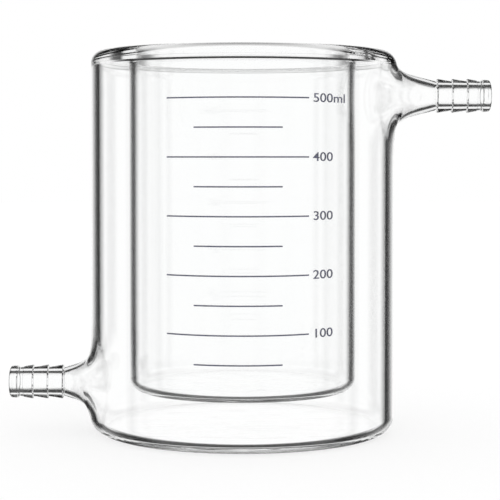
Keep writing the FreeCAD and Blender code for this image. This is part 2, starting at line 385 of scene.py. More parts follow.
def waved(points: np.ndarray, waves: Sequence[tuple[float, float, float, float]],
          fade: tuple[float, float], ceiling: float, lift: float = 0.0) -> np.ndarray:
    """Give a floor slow waves, a sum of sines across it that fades out at the heel.

    Args:
        points: The skin's points.
        waves: Each sine's height, its turn to a millimetre along X and along Y, and its start.
        fade: How far from the axis the waves begin to fade, and over what length.
        ceiling: Points lower than this are the floor.
        lift: The height added to the whole sum.

    Returns:
        The points, with those of the floor moved up or down.
    """
    x, y = points[..., 0] / MM, points[..., 1] / MM
    total = sum(size * np.sin(along * x + over * y + start) for size, along, over, start in waves)
    kept = 1.0 - eased((np.hypot(x, y) * MM - fade[0]) / fade[1])
    moved = points.copy()
    moved[..., 2] += np.where(points[..., 2] < ceiling, (total + lift) * kept, 0.0)
    return moved


def around(count: int) -> np.ndarray:
    """Angles of a full turn, in radians."""
    return np.arange(count) * (2.0 * math.pi / count)


class Side(Enum):
    """Which material slot a face takes."""

    GLASS = 0
    WELD = 1


class Skin:
    """Grids of points that are gathered into one closed mesh."""

    def __init__(self) -> None:
        """Start with no points and no faces."""
        self.points: list[np.ndarray] = []
        self.faces: list[list[int]] = []
        self.slots: list[int] = []
        self.count = 0

    def add_points(self, points: np.ndarray) -> np.ndarray:
        """Add points.

        Args:
            points: A grid of points.

        Returns:
            Their numbers, in the same grid.
        """
        shape = points.shape[:-1]
        numbers = self.count + np.arange(int(np.prod(shape))).reshape(shape)
        self.points.append(points.reshape(-1, 3))
        self.count += numbers.size
        return numbers

    def add_grid(self, numbers: np.ndarray, side: Side = Side.GLASS,
                 holes: Sequence[tuple[slice, slice]] = ()) -> None:
        """Join the rows of a grid by four-cornered faces; each row closes on itself.

        Args:
            numbers: The grid's points, by number.
            side: The slot of the faces.
            holes: Blocks of faces left out, by rows and columns.
        """
        after = np.roll(numbers, -1, axis=1)
        quads = np.stack([numbers[:-1], after[:-1], after[1:], numbers[1:]], axis=-1)
        kept = np.ones(quads.shape[:2], bool)
        for rows, columns in holes:
            kept[rows, columns] = False
        self.add_faces(quads[kept], side)

    def add_faces(self, faces: np.ndarray, side: Side = Side.GLASS) -> None:
        """Add faces, one row of point numbers each."""
        self.faces.extend(faces.tolist())
        self.slots.extend([side.value] * len(faces))

    def add_pole(self, ring: np.ndarray, point: Sequence[float], last: bool) -> None:
        """Close a ring onto one point of the axis.

        Args:
            ring: The ring's points, by number.
            point: The pole.
            last: Whether the pole ends the profile rather than starts it.
        """
        pole = np.full(ring.shape, self.add_points(np.array([point], float))[0])
        after = np.roll(ring, -1)
        order = [ring, after, pole] if last else [pole, after, ring]
        self.add_faces(np.stack(order, axis=-1))

    def build(self, name: str, materials: Sequence[bpy.types.Material],
              crease: float = 40.0) -> bpy.types.Object:
        """Make the mesh and its object.

        Args:
            name: The piece's name.
            materials: Its materials, in the order of their slots.
            crease: Edges that turn more than this many degrees stay sharp.

        Returns:
            The new object.
        """
        mesh = bpy.data.meshes.new(name)
        mesh.from_pydata(np.concatenate(self.points).tolist(), [], self.faces)
        for material in materials:
            mesh.materials.append(material)
        mesh.polygons.foreach_set("material_index", self.slots)
        mesh.shade_smooth()
        mesh.set_sharp_from_angle(angle=math.radians(crease))
        mesh.update()
        return hang(bpy.data.objects.new(name, mesh))


def hang(item: bpy.types.Object) -> bpy.types.Object:
    """Put an object into the scene and return it."""
    bpy.context.scene.collection.objects.link(item)
    return item


# The glass


@dataclass
class Neck:
    """A hose neck that is drawn out of the jacket's wall.

    Its skin has two outlines: one up and down the wall, and a wider one round it, where the wall
    already curves away. Between them it follows the squared cosine and sine of the direction.

    Attributes:
        turn: Its angle about Z in radians.
        height: The height of its axis.
        root: How far from the beaker's axis it ends.
        root_radius: Its outer radius there.
        bore_radius: Its inner radius there.
        taper: Slope of its straight part against its axis.
        flare_radius: Radius of the flare, up and down the wall.
        flare_depth: From the wall to where the flare begins.
        seam: Length of the seam with the hose connection.
        pinch: How far it narrows there.
        tail: How far from its axis the flare dies out, up and down the wall.
        inner_tail: The same for the inner skin.
        onset: How far outside the wall the arc of the flare begins there.
        width: How far it dies out round the wall.
        gather: How far outside the wall the flare begins round the wall.
        grip: How deep under the wall's skin the flare still moves the glass.
    """

    turn: float
    height: float
    root: float
    root_radius: float = 5.4 * MM
    bore_radius: float = 3.2 * MM
    taper: float = math.radians(14.0)
    flare_radius: float = 12.0 * MM
    flare_depth: float = 7.0 * MM
    seam: float = 0.35 * MM
    pinch: float = 0.22 * MM
    tail: float = 16.5 * MM
    inner_tail: float = 17.3 * MM
    onset: float = 0.9 * MM
    width: float = 26.0 * MM
    gather: float = 10.5 * MM
    grip: float = 6.0 * MM

    def throat(self, outer: bool) -> np.ndarray:
        """The skin's last points, at the root.

        Args:
            outer: Whether this is the outer skin.

        Returns:
            Distance from the neck's axis and from the beaker's, one row each.
        """
        if not outer:
            return np.array([[self.bore_radius, self.root]])
        return np.array([[self.root_radius, self.root - self.seam],
                         [self.root_radius - self.pinch, self.root]])

    @staticmethod
    def curve(start: np.ndarray, corner: np.ndarray, end: np.ndarray, steps: int) -> np.ndarray:
        """A quadratic curve between two points, aimed at a corner.

        A share s of the way along it is (1 - s) squared times the start, twice s (1 - s) times the
        corner, and s squared times the end.

        Args:
            start: The first point.
            corner: The point that both ends aim at.
            end: The last point.
            steps: How many points there are.

        Returns:
            The points, one row each.
        """
        share = np.linspace(0.0, 1.0, steps)[:, None]
        return (1 - share) ** 2 * start + 2 * share * (1 - share) * corner + share ** 2 * end

    def outline(self, wall: float, outer: bool) -> np.ndarray:
        """The skin above or below the neck's axis, from the tail in the wall to the root.

        A straight taper from the root, an arc of a circle tangent to it, and a quadratic curve
        that runs out in the wall.

        Args:
            wall: The radius of the wall that the neck grows from.
            outer: Whether this is the outer skin.

        Returns:
            Distance from the neck's axis and from the beaker's, one row each.
        """
        start = self.root_radius if outer else self.bore_radius
        bell = JACKET_RADIUS + self.flare_depth
        bell_radius = self.root_radius + (self.root - bell) * math.tan(self.taper)
        centre = np.array([bell_radius + self.flare_radius * math.cos(self.taper),
                           bell + self.flare_radius * math.sin(self.taper)])
        radius = self.flare_radius + (self.root_radius - start) * math.cos(self.taper)
        steepest = math.asin(min((centre[1] - wall - self.onset) / radius, 0.98))
        swept = np.linspace(steepest, self.taper, 72)
        arc = centre - radius * np.stack([np.cos(swept), np.sin(swept)], axis=-1)
        toward = np.array([math.sin(steepest), -math.cos(steepest)])
        meet = arc[0] + toward * ((arc[0][1] - wall) / math.cos(steepest))
        end = np.array([self.tail if outer else self.inner_tail, wall])
        return np.concatenate([self.curve(end, meet, arc[0], 30)[:-1], arc, self.throat(outer)])

    def wide_outline(self, wall: float, outer: bool) -> np.ndarray:
        """The skin beside the neck's axis, from the tail in the wall to the root.

        A straight taper from the root, and a quadratic curve tangent to it and to the wall's
        circle.

        Args:
            wall: The radius of the wall that the neck grows from.
            outer: Whether this is the outer skin.

        Returns:
            Distance from the neck's axis and from the beaker's, one row each.
        """
        start = self.root_radius if outer else self.bore_radius
        steep = 1.0 / math.tan(self.taper)
        neck_end = np.array([start + (self.root - JACKET_RADIUS - self.gather) / steep,
                             JACKET_RADIUS + self.gather])
        across = self.width * wall / JACKET_RADIUS
        tail = np.array([across, math.sqrt(wall ** 2 - across ** 2)])
        slope = tail[0] / tail[1]
        met = (neck_end[1] + steep * neck_end[0] - tail[1] - slope * tail[0]) / (steep - slope)
        corner = np.array([met, tail[1] + slope * (tail[0] - met)])
        return np.concatenate([self.curve(tail, corner, neck_end, 100), self.throat(outer)])

    def local(self, points: np.ndarray) -> tuple[np.ndarray, np.ndarray, np.ndarray]:
        """Coordinates beside the neck: the frame turned by its angle, from its axis.

        Args:
            points: Points in the frame.

        Returns:
            How far they lie out along the neck's axis, across it, and up from it.
        """
        cosine, sine = math.cos(self.turn), math.sin(self.turn)
        out = points[..., 0] * cosine + points[..., 1] * sine
        across = points[..., 1] * cosine - points[..., 0] * sine
        return out, across, points[..., 2] - self.height

    def world(self, out: np.ndarray, across: np.ndarray, up: np.ndarray) -> np.ndarray:
        """The reverse of local.

        Args:
            out: Distance along the neck's axis.
            across: Distance across it.
            up: Height above it.

        Returns:
            Points in the frame.
        """
        cosine, sine = math.cos(self.turn), math.sin(self.turn)
        return np.stack([out * cosine - across * sine, out * sine + across * cosine,
                         up + self.height], axis=-1)

    def rise(self, wall: float, outer: bool, across: np.ndarray, up: np.ndarray) -> np.ndarray:
        """How far the skin stands out from the wall.

        The wide outline's rise times the squared cosine of the direction, and the upright one's
        times the squared sine.

        Args:
            wall: The wall's radius.
            outer: Whether this is the outer skin.
            across: Distance across from the neck's axis.
            up: Height above the neck's axis.

        Returns:
            The height above the wall.
        """
        reach = np.maximum(np.hypot(across, up), 1.0 * MM)
        beside = np.clip((across / reach) ** 2, 0.0, 1.0)
        line, wide = self.outline(wall, outer)[::-1], self.wide_outline(wall, outer)[::-1]
        upright = np.interp(reach, line[:, 0], line[:, 1]) - wall
        circle = np.sqrt(np.maximum(wall ** 2 - np.minimum(reach, wide[-1, 0]) ** 2, 0.0))
        level = np.interp(reach, wide[:, 0], wide[:, 1]) - circle
        return beside * level + (1.0 - beside) * upright

    def swell(self, points: np.ndarray, wall: float, outer: bool) -> np.ndarray:
        """Push the wall's points out where the neck's flare runs over them.

        The push is the flare's rise times one less the soft step of the depth over the grip.

        Args:
            points: The wall's points.
            wall: The wall's radius.
            outer: Whether this is the outer skin.

        Returns:
            The points in their new places.
        """
        out, across, up = self.local(points)
        depth = wall - np.hypot(out, across)
        push = np.where(out > 0.0, self.rise(wall, outer, across, up), 0.0)
        return self.world(out + push * (1.0 - eased(depth / self.grip)), across, up)

    def draw(self, skin: Skin, grid: np.ndarray, flat: np.ndarray, wall: float, outer: bool,
             rings: int = 34) -> np.ndarray:
        """Fill a square hole in the wall with the neck's skin, out to its root.

        Rings run from the square's edge to the circle of the root. A ring's distance from the
        axis follows the outline evenly by length, and its points turn from the square's own
        directions to even ones.

        Args:
            skin: The mesh under construction.
            grid: The hole's rim in the wall's grid, by number, once round.
            flat: The rim's points on the plain wall.
            wall: The wall's radius.
            outer: Whether this is the outer skin.
            rings: How many rings there are.

        Returns:
            The root's ring, by number.
        """
        _, across, up = self.local(flat)
        rim = np.hypot(across, up)
        bearing = np.unwrap(np.arctan2(up, across))
        even = bearing[0] + (bearing[-1] - bearing[0]) * np.linspace(0, 1, bearing.size)
        line = self.outline(wall, outer)
        inner = float(rim.min())
        edge = np.interp(inner, line[::-1, 0], line[::-1, 1])
        line = np.concatenate([[[inner, edge]], line[line[:, 0] < inner]])
        lengths = np.concatenate([[0.0], np.cumsum(np.linalg.norm(np.diff(line, axis=0), axis=1))])
        share = np.linspace(0.0, 1.0, rings + 1)[1:]
        even_reach = np.interp(share * lengths[-1], lengths, line[:, 0])
        away = (1.0 - share)[:, None] ** 3
        reach = even_reach[:, None] + (rim - inner) * away
        turn = bearing + (even - bearing) * eased(share)[:, None]
        across, up = reach * np.cos(turn), reach * np.sin(turn)
        out = np.sqrt(wall ** 2 - across ** 2) + self.rise(wall, outer, across, up)
        out[-1] = self.root
        numbers = skin.add_points(self.world(out, across, up))
        skin.add_grid(np.concatenate([grid[None], numbers]))
        return numbers[-1]


JACKET_RADIUS = float(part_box("rim_seal")[1].y)
WELD_HEIGHT = float(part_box("rim_seal")[0].z)
TOP = float(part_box("rim_seal")[1].z)
VESSEL_RADIUS = float(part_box("inner_vessel")[1].y)


@dataclass
class Jacket:
    """The outer wall and floor, with the outlet's and the inlet's necks.

    Attributes:
        necks: The outlet and the inlet.
        wall: The glass's thickness.
        heel: Radius of the outer edge at the foot.
        inner_heel: Radius of the inner one.
        block: Columns and rows across the square of a neck.
        plain: Columns from one neck's square to the other's.
        grade: Height of the closer rows beside a neck's square.
        pole: Radius of the disc that closes each floor.
        ripple: Height of the floor's waves.
    """

    necks: list[Neck]
    glass: ClearGlass
    wall: float = 3.0 * MM
    heel: float = 6.0 * MM
    inner_heel: float = 3.0 * MM
    block: int = 28
    plain: int = 132
    grade: float = 7.0 * MM
    pole: float = 2.0 * MM
    ripple: float = 0.012 * MM

    @property
    def half(self) -> float:
        """Half the side of the square that each neck is drawn from."""
        return WELD_HEIGHT - self.necks[0].height

    def angles(self) -> np.ndarray:
        """Angles of the wall's columns: close ones across each neck, even ones between.

        Returns:
            The angles in radians, once round.
        """
        reach = math.asin(self.half / JACKET_RADIUS)
        close = np.linspace(-reach, reach, self.block + 1)[:-1]
        wide = np.linspace(reach, math.pi - reach, self.plain + 1)[:-1]
        return np.concatenate([close, wide, close + math.pi, wide + math.pi])

    def heights(self, foot: float) -> np.ndarray:
        """Heights of the wall's rows, close ones across each neck.

        Args:
            foot: Where the wall begins.

        Returns:
            The heights up to the weld.
        """
        outlet, inlet = self.necks[0].height, self.necks[1].height
        marks = [(foot, 3), (inlet - self.half, self.block), (inlet + self.half, 7),
                 (inlet + self.half + self.grade, 14), (outlet - self.half - self.grade, 7),
                 (outlet - self.half, self.block)]
        ends = [mark[0] for mark in marks[1:]] + [WELD_HEIGHT]
        rows = [np.linspace(start, end, count + 1)[:-1]
                for (start, count), end in zip(marks, ends)]
        return np.concatenate([*rows, [WELD_HEIGHT]])

    def profile(self, outer: bool) -> np.ndarray:
        """Half of the jacket's section, from beside the axis to the weld.

        Args:
            outer: Whether this is the outer side.

        Returns:
            Radius and height, one row each.
        """
        radius = JACKET_RADIUS - (0.0 if outer else self.wall)
        floor = 0.0 if outer else self.wall
        heel = self.heel if outer else self.inner_heel
        foot = floor + heel
        corners = [(self.pole, floor, 0.0), (radius, floor, heel), (radius, foot + 1e-5, 0.0)]
        curve = divided(rounded_line(corners, 14)[:-1], 2.6 * MM)
        rows = self.heights(foot)[1:]
        return np.concatenate([curve, np.stack([np.full(rows.shape, radius), rows], axis=-1)])

    def ruffle(self, points: np.ndarray, phase: float) -> np.ndarray:
        """Give the floor three slow waves, lifted so that it stays over the table.

        Args:
            points: The skin's points.
            phase: Where the waves start.

        Returns:
            The points with a waved floor.
        """
        waves = [(self.ripple, 0.21, 0.33, phase), (0.8 * self.ripple, 0.13, -0.41, 2 * phase),
                 (0.5 * self.ripple, 0.47, 0.09, -phase)]
        return waved(points, waves, (0.6 * JACKET_RADIUS, 0.25 * JACKET_RADIUS),
                     self.wall + 0.2 * MM, 2.3 * self.ripple)

    def wall_grid(self, skin: Skin, outer: bool) -> tuple[np.ndarray, list[np.ndarray]]:
        """Lay one side of the jacket, with each neck drawn out of it.

        Args:
            skin: The mesh under construction.
            outer: Whether this is the outer side.

        Returns:
            The row of the weld, and each neck's root ring.
        """
        radius = JACKET_RADIUS - (0.0 if outer else self.wall)
        profile = self.profile(outer)
        plain = turned(profile, self.angles())
        shaped = self.ruffle(plain, 0.4 if outer else 1.9)
        for neck in self.necks:
            shaped = neck.swell(shaped, radius, outer)
        if not outer:
            profile, plain, shaped = profile[::-1], plain[::-1], shaped[::-1]
        numbers = skin.add_points(shaped)
        holes, roots = [], []
        for neck, first in zip(self.necks, (0, self.block + self.plain)):
            inside = np.abs(profile[:, 1] - neck.height) < self.half + 1e-7
            rows = np.flatnonzero(inside & (np.abs(profile[:, 0] - radius) < 1e-7))
            low, high = int(rows[0]), int(rows[-1])
            right = first + self.block
            holes.append((slice(low, high), slice(first, right)))
            walk = [(np.full(self.block, low), np.arange(first, right)),
                    (np.arange(low, high), np.full(high - low, right)),
                    (np.full(self.block, high), np.arange(right, first, -1)),
                    (np.arange(high, low, -1), np.full(high - low, first))]
            row = np.concatenate([part[0] for part in walk])
            column = np.concatenate([part[1] for part in walk])
            roots.append(neck.draw(skin, numbers[row, column], plain[row, column], radius, outer))
        skin.add_grid(numbers, holes=holes)
        floor = 0.0 if outer else self.wall
        skin.add_pole(numbers[-1] if not outer else numbers[0], (0.0, 0.0, floor), not outer)
        return numbers[-1] if outer else numbers[0], roots

    def build(self) -> bpy.types.Object:
        """Make the jacket as one closed skin.

        Returns:
            The piece.
        """
        skin = Skin()
        outer_weld, outer_roots = self.wall_grid(skin, True)
        inner_weld, inner_roots = self.wall_grid(skin, False)
        skin.add_grid(np.stack([outer_weld, inner_weld]), Side.WELD)
        for outer_root, inner_root in zip(outer_roots, inner_roots):
            facing = np.roll(inner_root[::-1], 1 + 3 * self.block)
            skin.add_grid(np.stack([outer_root, facing]), Side.WELD)
        piece = skin.build("jacket_glass", [self.glass.material(), WELD])
        return place(piece, "outer_jacket", GLASS_SLOT)


@dataclass
class RimSeal:
    """The ring that joins the two walls and carries the rounded rim.

    Attributes:
        jacket: The jacket that it closes.
        vessel_wall: Thickness of the vessel's wall.
        ceiling: Height of the ring's underside over the welds, beside the vessel.
        fillet: Radius of the corners of the underside.
        bevel_run: Width of the bevel under the ring at the jacket's wall.
        bevel_rise: Height of that bevel.
        rounding: Radius of the rim's outer edge.
        lip: Radius of the mouth's edge.
        longest: Longest step of the outer side.
    """

    jacket: Jacket
    glass: ClearGlass
    vessel_wall: float = 2.2 * MM
    ceiling: float = 1.2 * MM
    fillet: float = 0.15 * MM
    bevel_run: float = 0.9 * MM
    bevel_rise: float = 0.75 * MM
    rounding: float = 4.4 * MM
    lip: float = 3.4 * MM
    longest: float = 1.6 * MM

    def build(self) -> bpy.types.Object:
        """Turn the ring's section, and carry the outlet's flare on over it.

        Returns:
            The piece.
        """
        bore = JACKET_RADIUS - self.jacket.wall
        mouth = VESSEL_RADIUS - self.vessel_wall
        outside = rounded_line([(JACKET_RADIUS, WELD_HEIGHT, 0.0),
                                (JACKET_RADIUS, TOP, self.rounding),
                                (mouth, TOP, self.lip), (mouth, WELD_HEIGHT, 0.0)], 16)
        ceiling = WELD_HEIGHT + self.ceiling
        inside = rounded_line([(VESSEL_RADIUS, WELD_HEIGHT, 0.0),
                               (VESSEL_RADIUS, ceiling, self.fillet),
                               (bore - self.bevel_run, WELD_HEIGHT + self.bevel_rise, self.fillet),
                               (bore, WELD_HEIGHT, 0.0)])
        outside, inside = divided(outside, self.longest), divided(inside, ROW)
        angles = self.jacket.angles()
        skin = Skin()
        shell = self.jacket.necks[0].swell(turned(outside, angles), JACKET_RADIUS, True)
        outer = skin.add_points(shell)
        inner = skin.add_points(self.jacket.necks[0].swell(turned(inside, angles), bore, False))
        skin.add_grid(outer)
        skin.add_grid(inner)
        skin.add_grid(np.stack([outer[-1], inner[0]]), Side.WELD)
        skin.add_grid(np.stack([inner[-1], outer[0]]), Side.WELD)
        piece = skin.build("rim_glass", [self.glass.material(), WELD], 30.0)
        return place(piece, "rim_seal", GLASS_SLOT)


@dataclass
class Vessel:
    """The flat-bottomed inner cup.

    Attributes:
        wall: Thickness of its wall.
        floor: Thickness of its floor.
        heel: Radius of its outer edge at the bottom.
        inner_heel: Radius of the inner one.
        pole: Radius of the disc that closes each floor.
        ripple: Height of the floor's waves.
        columns: Divisions round it.
    """

    glass: ClearGlass
    wall: float = 2.2 * MM
    floor: float = 2.1 * MM
    heel: float = 5.0 * MM
    inner_heel: float = 2.8 * MM
    pole: float = 1.5 * MM
    ripple: float = 0.012 * MM
    columns: int = 320

    def ruffle(self, points: np.ndarray, phase: float) -> np.ndarray:
        """Give the floor three slow waves.

        Args:
            points: The skin's points.
            phase: Where the waves start.

        Returns:
            The points with a waved floor.
        """
        waves = [(self.ripple, 0.29, 0.37, phase), (0.7 * self.ripple, 0.17, -0.52, 3 * phase),
                 (0.5 * self.ripple, 0.61, 0.12, -phase)]
        return waved(points, waves, (0.62 * VESSEL_RADIUS, 0.22 * VESSEL_RADIUS),
                     float(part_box("inner_vessel")[0].z) + self.floor + 0.2 * MM)

    def build(self) -> bpy.types.Object:
        """Turn the cup's section.

        Returns:
            The piece.
        """
        under = float(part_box("inner_vessel")[0].z)
        bore = VESSEL_RADIUS - self.wall
        top = under + self.floor
        outside = rounded_line([(self.pole, under, 0.0), (VESSEL_RADIUS, under, self.heel),
                                (VESSEL_RADIUS, WELD_HEIGHT, 0.0)], 16)
        inside = rounded_line([(bore, WELD_HEIGHT, 0.0), (bore, top, self.inner_heel),
                               (self.pole, top, 0.0)], 16)
        skin = Skin()
        angles = around(self.columns)
        outer = turned(divided(outside, ROW), angles)
        inner = turned(divided(inside, ROW), angles)
        outer = skin.add_points(self.ruffle(outer, 0.9))
        inner = skin.add_points(self.ruffle(inner, 2.6))
        skin.add_grid(outer)
        skin.add_grid(inner)
        skin.add_grid(np.stack([outer[-1], inner[0]]), Side.WELD)
        skin.add_pole(outer[0], (0.0, 0.0, under), False)
        skin.add_pole(inner[-1], (0.0, 0.0, top), True)
        piece = skin.build("vessel_glass", [self.glass.material(), WELD])
        return place(piece, "inner_vessel", GLASS_SLOT)


@dataclass
class HoseBarb:
    """A ribbed hose connection at the root of a neck.

    Attributes:
        node: The CAD node that it stands for.
        neck: The neck that carries it.
        length: From the root to the end.
        crest: Outer radius of a rib.
        pitch: From rib to rib.
        rise: How far from its start a rib reaches its crest.
        land: Width of the crest.
        ribs: How many ribs there are.
        tip_radius: Outer radius of the bead at the end.
        tip_length: Length of the bead.
        tip_swell: How far before it the stem begins to widen.
        soften: Radius of the crests' edges.
        stem_soften: Radius of the hollows before the bead.
        mouth: Radius of the end's outer edge.
        mouth_bore: Radius of its inner edge.
        longest: Longest step along the section.
        columns: Divisions round it.
    """

    node: str
    neck: Neck
    glass: ClearGlass
    length: float = 20.0 * MM
    crest: float = 6.2 * MM
    pitch: float = 5.5 * MM
    rise: float = 0.4 * MM
    land: float = 0.5 * MM
    ribs: int = 3
    tip_radius: float = 5.9 * MM
    tip_length: float = 2.8 * MM
    tip_swell: float = 1.4 * MM
    soften: float = 0.2 * MM
    stem_soften: float = 0.15 * MM
    mouth: float = 1.3 * MM
    mouth_bore: float = 0.9 * MM
    longest: float = 0.8 * MM
    columns: int = 144

    def outline(self) -> np.ndarray:
        """The section, out along the ribs and the bead and back along the bore.

        Returns:
            Radius and distance from the root, one row each.
        """
        neck, bore = self.neck.root_radius, self.neck.bore_radius
        corners = [(neck - self.neck.pinch, 0.0, 0.0)]
        for rib in range(self.ribs):
            start = rib * self.pitch
            corners += [(neck, start + 0.1 * MM, 0.0),
                        (self.crest, start + self.rise, self.soften),
                        (self.crest, start + self.rise + self.land, self.soften)]
        tip = self.length - self.tip_length
        corners += [(neck, self.ribs * self.pitch, self.stem_soften),
                    (neck, tip - self.tip_swell, self.soften), (self.tip_radius, tip, self.soften),
                    (self.tip_radius, self.length, self.mouth),
                    (bore, self.length, self.mouth_bore), (bore, 0.0, 0.0)]
        return divided(rounded_line(corners, 6), self.longest)

    def build(self) -> bpy.types.Object:
        """Turn the section about the neck's axis and set it at the root.

        Returns:
            The piece.
        """
        skin = Skin()
        local = turned(self.outline(), around(self.columns))
        numbers = skin.add_points(self.neck.world(
            self.neck.root + local[..., 2], local[..., 0], local[..., 1]))
        skin.add_grid(numbers)
        skin.add_grid(np.stack([numbers[-1], numbers[0]]), Side.WELD)
        piece = skin.build(self.node + "_glass", [self.glass.material(), WELD], 70.0)
        return place(piece, self.node, GLASS_SLOT)


# The printed scale


@dataclass
class Numerals:
    """The numbers beside the long lines, wrapped round the vessel.

    Attributes:
        enamel: Their finish.
        start: Where they begin, in degrees to the right of the front.
        tall: Height of a figure.
        lift: How far their middle stands over the line's.
        widen: How much wider they look from the front than the plain letter.
        bold: How much their strokes are thickened, in letter sizes.
        thick: How far they stand out from the glass.
        capital: Height of a figure in letter sizes.
        stroke: Width of the printed lines.
        words: The numbers, the lowest first.
    """

    enamel: FiredEnamel
    start: float = 35.4
    tall: float = 3.1 * MM
    lift: float = 0.15 * MM
    widen: float = 1.09
    bold: float = 0.005
    thick: float = 0.12 * MM
    capital: float = 0.7
    stroke: float = 0.5 * MM
    words: tuple[str, ...] = ("100", "200", "300", "400", "500ml")

    def lines(self) -> np.ndarray:
        """Heights of the long lines' middles, from the CAD's own.

        Returns:
            The heights, the lowest first.
        """
        low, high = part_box("scale_lines_100ml")
        half = self.stroke / 2
        return np.linspace(low.z + half, high.z - half, len(self.words))

    def wrap(self, flat: np.ndarray, middle: float) -> np.ndarray:
        """Bend flat lettering round the vessel.

        The words are spaced evenly as seen from the front: the sine of a point's angle is that of
        the start and its distance over the radius. A point keeps its height, and its depth becomes
        a distance out from the glass.

        Args:
            flat: The letters' points: right, up, and out.
            middle: The height of the line that they stand beside.

        Returns:
            The points on the vessel.
        """
        scale = self.tall / self.capital
        right = flat[:, 0] * scale * self.widen
        sine = math.sin(math.radians(self.start)) + right / VESSEL_RADIUS
        angle = np.arcsin(sine)
        radius = VESSEL_RADIUS + np.where(flat[:, 2] > 0.0, self.thick, 0.0)
        height = middle + self.lift + (flat[:, 1] - self.capital / 2) * scale
        return np.stack([radius * np.sin(angle), -radius * np.cos(angle), height], axis=-1)

    def build(self) -> list[bpy.types.Object]:
        """Make each word a mesh and wrap it.

        Returns:
            The pieces, the lowest first.
        """
        material = self.enamel.material()
        pieces = []
        for word, middle in zip(self.words, self.lines()):
            curve = bpy.data.curves.new("numeral", "FONT")
            curve.body = word
            curve.extrude = 0.5
            curve.offset = self.bold
            text = hang(bpy.data.objects.new("numeral", curve))
            bpy.context.view_layer.update()
            mesh = bpy.data.meshes.new_from_object(text)
            bpy.data.objects.remove(text)
            flat = np.zeros(len(mesh.vertices) * 3)
            mesh.vertices.foreach_get("co", flat)
            wrapped = self.wrap(flat.reshape(-1, 3), float(middle))
            mesh.vertices.foreach_set("co", wrapped.ravel())
            mesh.materials.clear()
            mesh.materials.append(material)
            mesh.update()
            name = "numeral_" + word
            piece = hang(bpy.data.objects.new(name, mesh))
            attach(piece, "root")
            log.info("%s: %d faces", name, len(mesh.polygons))
            pieces.append(piece)
        return pieces


def place(piece: bpy.types.Object, node: str, slot: str) -> bpy.types.Object:
    """Let a piece stand for a CAD node and ride on the body.

    Args:
        piece: The finished piece.
        node: The CAD node that it replaces.
        slot: The record's material slot; not used.

    Returns:
        The same piece.
    """
    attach(piece, "root")
    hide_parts(node)
    log.info("%s: %d faces", piece.name, len(piece.data.polygons))
    return piece


# The studio


